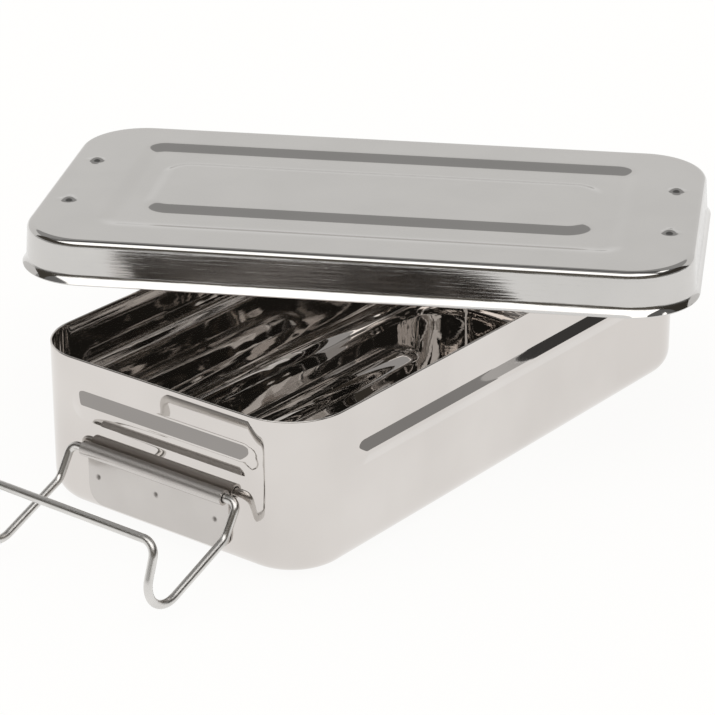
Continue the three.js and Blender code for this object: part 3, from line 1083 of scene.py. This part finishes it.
@dataclass(frozen=True)
class Bracket:
    """Plate welded to an end wall, its upper edge rolled into an open curl.

    Attributes:
        end: End of the box that it is on.
        width: Width across the box.
        foot: Height of the lower edge above the base.
        corner_radius: Radius of the lower corners.
        bore: Inner radius of the curl.
        lip_angle: Angle at which the curl stops, below the horizontal.
        mark_spacing: Distance between the weld marks.
        mark_shift: Distance of the middle weld mark beside the bracket's middle.
        mark_height: Height of the outer weld marks above the base.
        mark_rise: Height of the middle weld mark over the outer ones.
        mark: Radius and depth of a weld mark.
        mark_foot: Rounding at the edge of a weld mark.
        bevel: Width of the bevel along the sheet's edges.
    """

    end: BoxEnd
    width: float = 61.4 * MM
    foot: float = 5.5 * MM
    corner_radius: float = 6 * MM
    bore: float = 1.8 * MM
    lip_angle: float = -1.9
    mark_spacing: float = 25.5 * MM
    mark_shift: float = 0.8 * MM
    mark_height: float = 15.8 * MM
    mark_rise: float = 1.2 * MM
    mark: tuple[float, float] = (1.1 * MM, 0.35 * MM)
    mark_foot: float = 0.05 * MM
    bevel: float = 0.12 * MM

    def profile(self, offset: float, foot: np.ndarray) -> np.ndarray:
        """One face of the sheet, from the foot up the plate and round the curl.

        Args:
            offset: Distance of the face from the inside of the curl.
            foot: Height of the lower edge for each column, from the hinge.

        Returns:
            Array of rows, columns and X, Z from the hinge axis.
        """
        radius = self.bore + offset
        climb = np.linspace(0, 1, PLATE_STEPS + 1)[:-1, None]
        angle = np.linspace(math.pi, self.lip_angle, CURL_POINTS)[:, None]
        plate_z = foot * (1 - climb)
        plate_x = np.full_like(plate_z, -radius)
        curl_x = radius * np.cos(angle) + 0 * foot
        curl_z = radius * np.sin(angle) + 0 * foot
        x = np.concatenate([plate_x, curl_x])
        z = np.concatenate([plate_z, curl_z])
        return np.stack([x, z], axis=-1)

    def dents(self, y: np.ndarray, z: np.ndarray, hinge: float) -> np.ndarray:
        """Depth of the three weld marks, the middle one higher than the outer ones.

        Args:
            y: Place across the box.
            z: Height from the hinge.
            hinge: Height of the hinge above the base.

        Returns:
            Depth at each place.
        """
        radius, depth = self.mark
        spread = np.abs(y + self.mark_shift)
        beside = np.minimum(spread, np.abs(spread - self.mark_spacing))
        level = self.mark_height + np.where(spread < self.mark_spacing / 2, self.mark_rise, 0)
        return pressed(np.hypot(beside, z - (level - hinge)), radius, depth, self.mark_foot)

    def build(self) -> bpy.types.Object:
        """Builds the bracket as one closed sheet with rounded edges.

        Returns:
            The bracket.
        """
        matrix = fitting_place(self.end)
        hinge = matrix.translation.z
        half = self.width / 2
        stops = [-half, self.corner_radius - half, half - self.corner_radius, half]
        y = graded(stops, PLATE_COLUMN_STEPS)
        past = np.maximum(np.abs(y) - half + self.corner_radius, 0)
        foot = self.foot + self.corner_radius - np.sqrt(self.corner_radius**2 - past**2) - hinge
        front = self.profile(0.0, foot)
        back = self.profile(SHEET, foot)
        dent = self.dents(y[None, :], front[..., 1], hinge)
        on_plate = front[..., 0] < -PLATE_REACH * self.bore
        front[..., 0] -= np.where(on_plate & (front[..., 1] < 0), dent, 0)
        across = np.repeat(y[None, :], front.shape[0], axis=0)
        faces, points = sheet_body(
            *(np.stack([face[..., 0], across, face[..., 1]], axis=-1) for face in (front, back))
        )
        burnt = np.where(on_plate, dent / self.mark[1], 0)
        marks = {
            "stain": np.stack([burnt, np.zeros_like(burnt)]),
            "streak": np.stack([front[..., 1] > 0, back[..., 1] > 0]),
        }
        name = f"{self.end.label}_bracket_plate"
        bracket = make_object(name, placed(points, matrix), faces, BRACKET_CREASE, marks)
        bevel = bracket.modifiers.new("edges", "BEVEL")
        bevel.width = self.bevel
        bevel.segments = BEVEL_SEGMENTS
        bevel.limit_method = "ANGLE"
        bevel.angle_limit = SHEET_CREASE
        BRACKET_FINISH.dress(bracket)
        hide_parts(f"{self.end.label}_bracket")
        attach(bracket, "tray")
        return bracket


def sheet_body(front: np.ndarray, back: np.ndarray) -> tuple[np.ndarray, np.ndarray]:
    """Closes two matched faces of a sheet by strips along their four edges.

    Args:
        front: One face as rows, columns and X, Y, Z.
        back: The other face, with the same rows and columns.

    Returns:
        The quads and the points.
    """
    rows, columns = front.shape[:2]
    index = np.arange(rows * columns).reshape(rows, columns)
    other = index + rows * columns
    border = np.concatenate([index[0, :-1], index[:-1, -1], index[-1, :0:-1], index[:0:-1, 0]])
    ahead = np.roll(border, -1)
    strip = np.stack([ahead, border, border + rows * columns, ahead + rows * columns], axis=-1)
    face = quads(rows, columns, wrap=False)
    faces = np.concatenate([face, face[:, ::-1] + other[0, 0], strip])
    return faces, np.concatenate([front.reshape(-1, 3), back.reshape(-1, 3)])


def bent_line(corners: np.ndarray, radii: list[float], step: float) -> np.ndarray:
    """Centreline of a bent wire: straight stretches joined by circular bends.

    Each bend is the arc that touches both stretches, swept from one touching point to
    the other about its centre.

    Args:
        corners: Corner points by three coordinates, ends included.
        radii: Bend radius at each inner corner.
        step: Half the distance between points on the straights, twice that on the bends.

    Returns:
        Points along the line.
    """
    pieces = []
    start = corners[0]
    for before, corner, after, radius in zip(corners[:-2], corners[1:-1], corners[2:], radii):
        back = (before - corner) / np.linalg.norm(before - corner)
        ahead = (after - corner) / np.linalg.norm(after - corner)
        half = math.acos(float(np.clip(back @ ahead, -1, 1))) / 2
        reach = radius / math.tan(half)
        middle = (back + ahead) / np.linalg.norm(back + ahead)
        centre = corner + middle * radius / math.sin(half)
        first = corner + back * reach - centre
        last = corner + ahead * reach - centre
        sweep = math.pi - 2 * half
        count = max(2, round(np.linalg.norm(centre + first - start) / (2 * step)))
        pieces.append(np.linspace(start, centre + first, count, endpoint=False))
        steps = max(BEND_STEPS, round(sweep * radius / (step / 2)))
        turn = np.linspace(0, 1, steps, endpoint=False)[:, None]
        swept = np.sin((1 - turn) * sweep) * first + np.sin(turn * sweep) * last
        pieces.append(centre + swept / math.sin(sweep))
        start = centre + last
    count = max(2, round(np.linalg.norm(corners[-1] - start) / (2 * step)))
    pieces.append(np.linspace(start, corners[-1], count))
    return np.concatenate(pieces)


def wire_body(line: np.ndarray, radius: float, sides: int) -> tuple[np.ndarray, np.ndarray]:
    """Round wire with domed ends, carried along a line.

    Each ring lies across the line. Its first direction is the last ring's, with what
    points along the line taken away.

    Args:
        line: Centreline points.
        radius: Radius of the wire.
        sides: Points round each ring.

    Returns:
        The quads and the points.
    """
    tangent = np.gradient(line, axis=0)
    tangent /= np.linalg.norm(tangent, axis=1)[:, None]
    first = np.zeros_like(line)
    across = np.cross(tangent[0], ASIDE)
    for i, ahead in enumerate(tangent):
        across = across - ahead * (across @ ahead)
        across = across / np.linalg.norm(across)
        first[i] = across
    second = np.cross(tangent, first)
    dome = np.linspace(0, math.pi / 2, DOME_STEPS + 1)[:-1]
    reach = END_BULGE * radius
    start = line[0] - np.cos(dome)[:, None] * tangent[0] * reach
    finish = line[-1] + np.cos(dome)[::-1, None] * tangent[-1] * reach
    centres = np.concatenate([start, line, finish])
    swell = np.concatenate([np.sin(dome), np.ones(len(line)), np.sin(dome)[::-1]]) * radius
    added = ((DOME_STEPS, DOME_STEPS), (0, 0))
    first, second = (np.pad(way, added, mode="edge")[:, None] for way in (first, second))
    angle = np.linspace(0, 2 * math.pi, sides, endpoint=False)[None, :, None]
    ring = np.cos(angle) * first + np.sin(angle) * second
    points = centres[:, None] + ring * swell[:, None, None]
    return quads(len(centres), sides, wrap=True), points.reshape(-1, 3)


@dataclass(frozen=True)
class HandleWire:
    """One length of spring wire, its tails held in the bracket's curl.

    Attributes:
        end: End of the box that it is on.
        radius: Radius of the wire.
        tail: Distance of the wire's ends from the middle.
        spread: Distance of each leg from the middle.
        knee: How far out and up the knee is.
        crown: Height of the crown over the hinge.
        grip: How far in and up the grip bar is.
        bends: Bend radius at hinge, knee, crown and grip.
        step: Half the distance between rings on the straights, twice that on the bends.
        sides: Points round each ring.
    """

    end: BoxEnd
    radius: float = 1.45 * MM
    tail: float = 18.7 * MM
    spread: float = 36.2 * MM
    knee: tuple[float, float] = (7.2 * MM, 10.1 * MM)
    crown: float = 56.4 * MM
    grip: tuple[float, float] = (16.3 * MM, 35.85 * MM)
    bends: tuple[float, float, float, float] = (3 * MM, 6 * MM, 8.8 * MM, 5 * MM)
    step: float = 0.8 * MM
    sides: int = 24

    def line(self) -> np.ndarray:
        """Centreline in the attitude that holds the closed lid, from the hinge axis.

        Returns:
            Points along the line.
        """
        half = np.array([
            [0, self.tail, 0],
            [0, self.spread, 0],
            [self.knee[0], self.spread, self.knee[1]],
            [self.knee[0], self.spread, self.crown],
            [-self.grip[0], self.spread, self.grip[1]],
        ])
        other = (half * [1, -1, 1])[::-1]
        radii = [*self.bends, *self.bends[::-1]]
        return bent_line(np.concatenate([half, other]), radii, self.step)

    def build(self) -> bpy.types.Object:
        """Builds the wire at rest and lets it ride on its own body.

        Returns:
            The wire.
        """
        matrix = fitting_place(self.end) @ Matrix.Rotation(self.end.swing, 4, "Y")
        faces, points = wire_body(self.line(), self.radius, self.sides)
        name = f"{self.end.label}_handle"
        wire = make_object(f"{name}_wire", placed(points, matrix), faces, WIRE_CREASE, {})
        WIRE_FINISH.dress(wire)
        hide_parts(name)
        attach(wire, name)
        return wire


@dataclass(frozen=True)
class StudioCard:
    """A curved card round the object that only its reflections show.

    Attributes:
        name: Name of the card.
        azimuth: Lowest and highest direction in degrees, from +X towards +Y.
        elevation: Lowest and highest angle above the horizon in degrees.
        radiance: Brightness, where 1 is white.
        colour: Colour of the light.
        distance: Distance from the object.
    """

    name: str
    azimuth: tuple[float, float]
    elevation: tuple[float, float]
    radiance: float
    colour: tuple[float, float, float] = (1.0, 0.99, 0.975)
    distance: float = 3.0

    def build(self) -> bpy.types.Object:
        """Builds the card as part of a sphere.

        Returns:
            The card, hidden from the camera, from diffuse light and from shadows.
        """
        turn, climb = np.meshgrid(
            np.radians(np.linspace(*self.azimuth, CARD_COLUMNS)),
            np.radians(np.linspace(*self.elevation, CARD_ROWS)),
        )
        points = self.distance * np.stack(
            [np.cos(climb) * np.cos(turn), np.cos(climb) * np.sin(turn), np.sin(climb)], axis=-1
        )
        faces = quads(CARD_ROWS, CARD_COLUMNS, wrap=False)
        mesh = bpy.data.meshes.new(self.name)
        mesh.from_pydata(points.reshape(-1, 3).tolist(), [], faces.tolist())
        mesh.materials.append(self.material())
        card = linked(self.name, mesh)
        card.visible_camera = False
        card.visible_diffuse = False
        card.visible_shadow = False
        return card

    def material(self) -> bpy.types.Material:
        """Plain glow of the card's radiance.

        Returns:
            The material.
        """
        made = bpy.data.materials.new(self.name)
        made.use_nodes = True
        tree = made.node_tree
        tree.nodes.clear()
        light = {"Color": (*self.colour, 1.0), "Strength": self.radiance}
        glow = add_node(tree, "ShaderNodeEmission", light)
        add_node(tree, "ShaderNodeOutputMaterial", {"Surface": glow.outputs["Emission"]})
        return made


@dataclass(frozen=True)
class Studio:
    """Pale table, white surroundings and the cards that the steel mirrors.

    Attributes:
        table_size: Side of the table.
        table_colour: Colour of the table.
        table_roughness: Roughness of the table.
        table_glow: Share of plain glow in the table where the camera or the steel sees it.
        glow_colour: Colour of that glow.
        light: Strength of the surroundings' soft light.
        cards: The cards, softboxes and flags alike.
    """

    table_size: float = 8.0
    table_colour: tuple[float, float, float] = (0.92, 0.915, 0.905)
    table_roughness: float = 0.9
    table_glow: float = 0.93
    glow_colour: tuple[float, float, float] = (1.0, 0.995, 0.985)
    light: float = 1.12
    cards: tuple[StudioCard, ...] = field(
        default_factory=lambda: (
            StudioCard("far_wall", (-32, 108), (-1, 31), 0.78),
            StudioCard("far_flag", (-32, 108), (31, 60), 0.36),
            StudioCard("far_top_flag", (-32, 108), (60, 78), 0.12),
            StudioCard("zenith", (-180, 180), (78, 90), 0.30),
            StudioCard("camera_softbox", (140, 278), (42, 75), 1.9),
            StudioCard("right_strip", (298, 322), (50, 60), 1.9, distance=2.9),
            StudioCard("camera_flag", (168, 268), (0, 42), 0.12, WARM),
            StudioCard("right_low_flag", (268, 317.6), (-12, 11), 0.28),
            StudioCard("right_glint", (317.6, 318.6), (3, 10), 0.50),
            StudioCard("right_edge_flag", (318.6, 331), (-6, 11), 0.05, distance=2.9),
            StudioCard("right_flag", (268, 328), (11, 42), 0.05, WARM),
            StudioCard("right_top_flag", (278, 328), (42, 78), 0.15),
            StudioCard("left_low_flag", (108, 200), (-12, 11), 0.45, distance=2.9),
            StudioCard("left_flag", (108, 168), (11, 42), 0.07, WARM),
            StudioCard("left_top_flag", (108, 140), (42, 78), 0.20),
        )
    )

    def table(self) -> bpy.types.Object:
        """Builds the table under the object.

        Returns:
            The table.
        """
        half = self.table_size / 2
        corners = [(-half, -half, 0), (half, -half, 0), (half, half, 0), (-half, half, 0)]
        mesh = bpy.data.meshes.new("table")
        mesh.from_pydata(corners, [], [(0, 1, 2, 3)])
        mesh.materials.append(self.table_material())
        table = linked("table", mesh)
        return table

    def table_material(self) -> bpy.types.Material:
        """Pale matt surface that reads as white to the camera and keeps a soft shadow.

        Returns:
            The material.
        """
        made = bpy.data.materials.new("table_top")
        made.use_nodes = True
        tree = made.node_tree
        matt = tree.nodes["Principled BSDF"]
        fill_inputs(tree, matt, {
            "Base Color": (*self.table_colour, 1.0),
            "Roughness": self.table_roughness,
            "Specular IOR Level": 0.0,
        })
        glow = add_node(tree, "ShaderNodeEmission", {"Color": (*self.glow_colour, 1.0)})
        mix = add_node(tree, "ShaderNodeMixShader", {
            "Fac": combined(tree, "MULTIPLY", white_to(tree), self.table_glow),
            1: matt.outputs["BSDF"],
            2: glow.outputs["Emission"],
        })
        fill_inputs(tree, tree.nodes["Material Output"], {"Surface": mix.outputs["Shader"]})
        return made

    def surroundings(self) -> None:
        """Sets a world that is white to the camera and to reflections, and soft light otherwise."""
        world = bpy.data.worlds.new("surroundings")
        bpy.context.scene.world = world
        world.use_nodes = True
        tree = world.node_tree
        light = tree.nodes["Background"]
        fill_inputs(tree, light, {"Color": WHITE, "Strength": self.light})
        white = add_node(tree, "ShaderNodeBackground", {"Color": WHITE})
        mix = add_node(tree, "ShaderNodeMixShader", {
            "Fac": white_to(tree),
            1: light.outputs["Background"],
            2: white.outputs["Background"],
        })
        fill_inputs(tree, tree.nodes["World Output"], {"Surface": mix.outputs["Shader"]})

    def build(self) -> None:
        """Builds the table, the cards and the world."""
        self.surroundings()
        self.table()
        for card in self.cards:
            card.build()
            LOG.info("card %s at %.2f", card.name, card.radiance)


def white_to(tree: bpy.types.NodeTree) -> bpy.types.NodeSocket:
    """One for rays from the camera, from gloss and through glass, nothing for the rest.

    Args:
        tree: Tree to add the nodes to.

    Returns:
        Socket with the value.
    """
    path = tree.nodes.new("ShaderNodeLightPath").outputs
    seen = combined(tree, "MAXIMUM", path["Is Camera Ray"], path["Is Glossy Ray"])
    return combined(tree, "MAXIMUM", seen, path["Is Transmission Ray"])


@dataclass(frozen=True)
class Viewpoint:
    """The camera.

    Attributes:
        place: Where the camera stands.
        azimuth: Direction of view in degrees, from +X towards +Y.
        elevation: Angle between the line of view and the horizon in degrees, negative downwards.
        roll: Turn about the line of view in degrees.
        lens: Focal length in millimetres.
        sensor: Width of the sensor in millimetres.
    """

    place: tuple[float, float, float] = (-0.747026, -0.572123, 0.436261)
    azimuth: float = 37.8657
    elevation: float = -23.5633
    roll: float = -0.0571
    lens: float = 144.295
    sensor: float = 36.0

    def build(self) -> bpy.types.Object:
        """Makes the camera and gives it to the scene.

        Returns:
            The camera.
        """
        data = bpy.data.cameras.new("camera")
        data.lens = self.lens
        data.sensor_width = self.sensor
        camera = linked("camera", data)
        turn = Matrix.Rotation(math.radians(self.azimuth - 90), 4, "Z")
        tilt = Matrix.Rotation(math.radians(90 + self.elevation), 4, "X")
        roll = Matrix.Rotation(math.radians(self.roll), 4, "Z")
        camera.matrix_world = Matrix.Translation(self.place) @ turn @ tilt @ roll
        bpy.context.scene.camera = camera
        return camera


def corners(box: tuple[Vector, Vector]) -> list[list[float]]:
    """A box's two corners as plain lists.

    Args:
        box: The lowest and the highest corner.

    Returns:
        The same corners as lists of numbers.
    """
    return [[float(value) for value in corner] for corner in box]


def main() -> None:
    """Builds the viewpoint, the studio and every piece of the box in order."""
    logging.basicConfig(level=logging.INFO, format="%(name)s: %(message)s")
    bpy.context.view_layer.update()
    bpy.context.scene.view_settings.view_transform = "Standard"
    Viewpoint().build()
    Studio().build()
    pieces = [Tray().build(), Lid().build()]
    for end in BoxEnd:
        pieces.append(Bracket(end).build())
        pieces.append(HandleWire(end).build())
    for piece in pieces:
        LOG.info("%s: %d faces", piece.name, len(piece.data.polygons))


if __name__ == "__main__":
    main()
